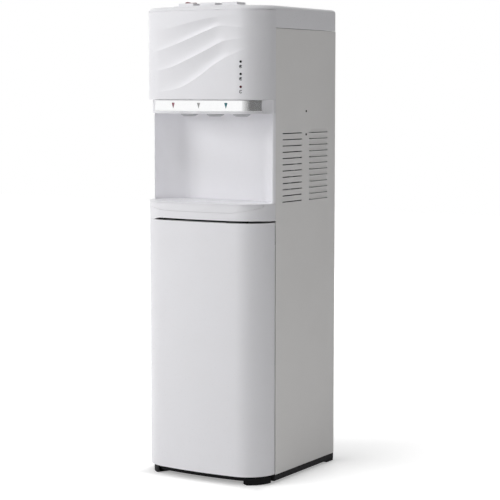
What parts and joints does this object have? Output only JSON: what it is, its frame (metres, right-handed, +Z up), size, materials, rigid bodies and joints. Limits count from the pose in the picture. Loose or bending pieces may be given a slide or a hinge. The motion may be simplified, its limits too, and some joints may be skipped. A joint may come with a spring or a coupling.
{
  "type": "water cooler",
  "caption": "Floor-standing water cooler with a bottle bay behind a curved door, a dispensing niche with a drip tray, a waved head and push buttons on top.",
  "frame": {"origin": "on the floor, under the middle of the casing", "axes": "+Z up, the front with the door and the niche faces -Y, +X to the right of someone who looks at the front"},
  "size_m": [0.3152, 0.33, 1.0262],
  "materials": {
    "white_plastic": "glossy",
    "white_paint": "satin",
    "black_plastic": "matte",
    "black_paint": "satin",
    "bright_band": "polished",
    "red_plastic": "glossy",
    "steel": "satin",
    "zinc_sheet": "dull",
    "copper": "dull",
    "foam": "matte",
    "hose": "satin",
    "clear_plastic": "glossy",
    "circuit_board": "matte"
  },
  "bodies": {
    "cabinet": {"base_tray": "black_plastic", "foot_front_left": "black_plastic", "foot_front_right": "black_plastic", "side_panel_left": "white_paint", "side_panel_right": "white_paint", "back_panel": "zinc_sheet", "top_cover": "white_plastic", "wave_panel": "white_plastic", "light_pipes": "clear_plastic", "control_board": "circuit_board", "niche_shell": "white_plastic", "apron": "white_plastic", "nose_frame": "white_plastic", "tap_band": "bright_band", "spout_hot": "white_plastic", "spout_room": "white_plastic", "spout_cold": "white_plastic", "tap_valve_hot": "clear_plastic", "tap_valve_room": "clear_plastic", "tap_valve_cold": "clear_plastic", "button_console": "white_plastic", "bay_liner": "white_plastic", "machine_shelf": "black_paint", "upper_hinge_pin": "steel", "lower_hinge": "steel", "tank_deck": "zinc_sheet", "cold_tank": "steel", "cold_tank_foam": "foam", "evaporator_coil": "copper", "hot_tank": "steel", "hot_tank_heater": "steel", "compressor": "black_paint", "condenser": "black_paint", "switch_panel": "black_plastic", "power_inlet": "black_plastic", "bottle_probe": "white_plastic", "water_pump": "black_plastic", "suction_hose": "hose", "riser_hose": "hose", "hot_feed_hose": "hose", "hot_tap_hose": "hose", "room_tap_hose": "hose", "cold_tap_hose": "hose", "button_spring_hot": "steel", "button_spring_room": "steel", "button_spring_cold": "steel"},
    "door": {"door_skin": "white_plastic", "door_top_cap": "black_plastic", "door_bottom_cap": "black_plastic", "door_liner": "white_plastic", "door_magnet": "black_plastic"},
    "drip_tray_set": {"drip_tray": "white_plastic", "drip_grille": "white_plastic"},
    "hot_button": {"button_hot": "white_plastic"},
    "room_button": {"button_room": "white_plastic"},
    "cold_button": {"button_cold": "white_plastic"},
    "lock": {"child_lock": "red_plastic"},
    "hot_rocker": {"rocker_hot": "red_plastic"},
    "cold_rocker": {"rocker_cold": "black_plastic"},
    "drain": {"drain_cap": "black_plastic"}
  },
  "joints": [
    {"name": "door_hinge", "type": "hinge", "parent": "cabinet", "child": "door", "pos_m": [-0.14346, -0.11094, 0.29], "axis": [0, 0, -1], "range_deg": [0, 110]},
    {"name": "drip_tray_slide", "type": "slide", "parent": "cabinet", "child": "drip_tray_set", "axis": [0, -1, 0], "range_m": [0, 0.11]},
    {"name": "hot_button_press", "type": "slide", "parent": "cabinet", "child": "hot_button", "axis": [0, 0, -1], "range_m": [0, 0.004], "stiffness_N_per_m": 400, "springref_m": -0.004, "deforming": ["button_spring_hot"]},
    {"name": "room_button_press", "type": "slide", "parent": "cabinet", "child": "room_button", "axis": [0, 0, -1], "range_m": [0, 0.004], "stiffness_N_per_m": 400, "springref_m": -0.004, "deforming": ["button_spring_room"]},
    {"name": "cold_button_press", "type": "slide", "parent": "cabinet", "child": "cold_button", "axis": [0, 0, -1], "range_m": [0, 0.004], "stiffness_N_per_m": 400, "springref_m": -0.004, "deforming": ["button_spring_cold"]},
    {"name": "child_lock_slide", "type": "slide", "parent": "hot_button", "child": "lock", "axis": [-1, 0, 0], "range_m": [0, 0.005], "stiffness_N_per_m": 80, "springref_m": -0.002},
    {"name": "hot_rocker_tilt", "type": "hinge", "parent": "cabinet", "child": "hot_rocker", "pos_m": [0.08, 0.1393, 0.8718], "axis": [1, 0, 0], "range_deg": [0, 16]},
    {"name": "cold_rocker_tilt", "type": "hinge", "parent": "cabinet", "child": "cold_rocker", "pos_m": [0.11, 0.1393, 0.8718], "axis": [1, 0, 0], "range_deg": [0, 16]},
    {"name": "drain_cap_turn", "type": "hinge", "parent": "cabinet", "child": "drain", "pos_m": [-0.085, 0.15, 0.8058], "axis": [0, 1, 0], "range_deg": [0, 360]}
  ]
}
